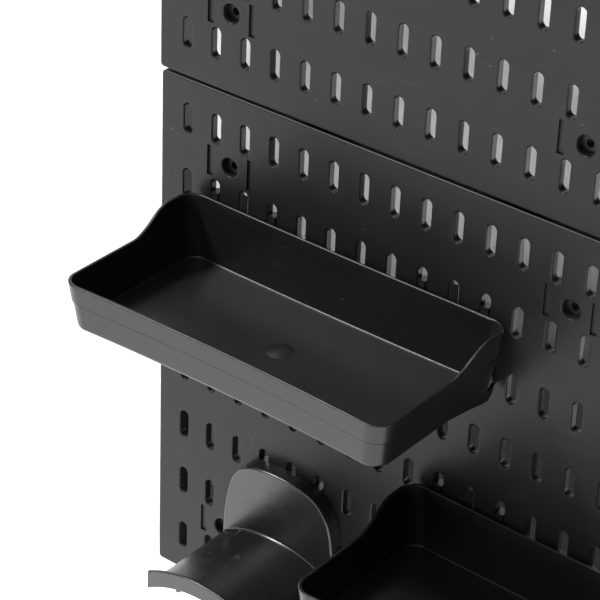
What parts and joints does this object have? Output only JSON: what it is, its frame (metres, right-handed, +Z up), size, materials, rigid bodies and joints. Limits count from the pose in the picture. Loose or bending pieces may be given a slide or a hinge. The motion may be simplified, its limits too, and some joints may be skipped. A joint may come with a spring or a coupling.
{
  "type": "pegboard tool wall",
  "caption": "Slotted plastic pegboard wall block standing off the wall on spacers, with deep open trays and an arched hose hanger that hook into its slots.",
  "frame": {"origin": "middle of the panel block, on the wall plane behind the spacers", "axes": "+X to the right along the wall, +Y into the wall, +Z up"},
  "size_m": [0.7832, 0.1466, 0.808],
  "materials": {
    "panel_plastic": "satin moulded",
    "spacer_plastic": "matte moulded",
    "joiner_plastic": "matte moulded",
    "tray_plastic": "satin moulded",
    "hanger_plastic": "semi-gloss moulded"
  },
  "bodies": {
    "wall": {"panel_lower_left": "panel_plastic", "panel_lower_right": "panel_plastic", "panel_upper_left": "panel_plastic", "panel_upper_right": "panel_plastic", "spacer_lower_left_1": "spacer_plastic", "spacer_lower_left_2": "spacer_plastic", "spacer_lower_left_3": "spacer_plastic", "spacer_lower_left_4": "spacer_plastic", "spacer_lower_right_1": "spacer_plastic", "spacer_lower_right_2": "spacer_plastic", "spacer_lower_right_3": "spacer_plastic", "spacer_lower_right_4": "spacer_plastic", "spacer_upper_left_1": "spacer_plastic", "spacer_upper_left_2": "spacer_plastic", "spacer_upper_left_3": "spacer_plastic", "spacer_upper_left_4": "spacer_plastic", "spacer_upper_right_1": "spacer_plastic", "spacer_upper_right_2": "spacer_plastic", "spacer_upper_right_3": "spacer_plastic", "spacer_upper_right_4": "spacer_plastic", "joiner_lower_1": "joiner_plastic", "joiner_lower_2": "joiner_plastic", "joiner_upper_1": "joiner_plastic", "joiner_upper_2": "joiner_plastic", "joiner_left_1": "joiner_plastic", "joiner_left_2": "joiner_plastic", "joiner_right_1": "joiner_plastic", "joiner_right_2": "joiner_plastic"},
    "tray_upper": {"tray_upper": "tray_plastic"},
    "tray_lower": {"tray_lower": "tray_plastic"},
    "hose_hanger": {"hose_hanger": "hanger_plastic"}
  },
  "joints": [
    {"name": "tray_upper_lift", "type": "slide", "parent": "wall", "child": "tray_upper", "axis": [0, -0.7071, 0.7071], "range_m": [0, 0.06]},
    {"name": "tray_lower_lift", "type": "slide", "parent": "wall", "child": "tray_lower", "axis": [0, -0.7071, 0.7071], "range_m": [0, 0.06]},
    {"name": "hose_hanger_lift", "type": "slide", "parent": "wall", "child": "hose_hanger", "axis": [0, -0.7071, 0.7071], "range_m": [0, 0.06]}
  ]
}
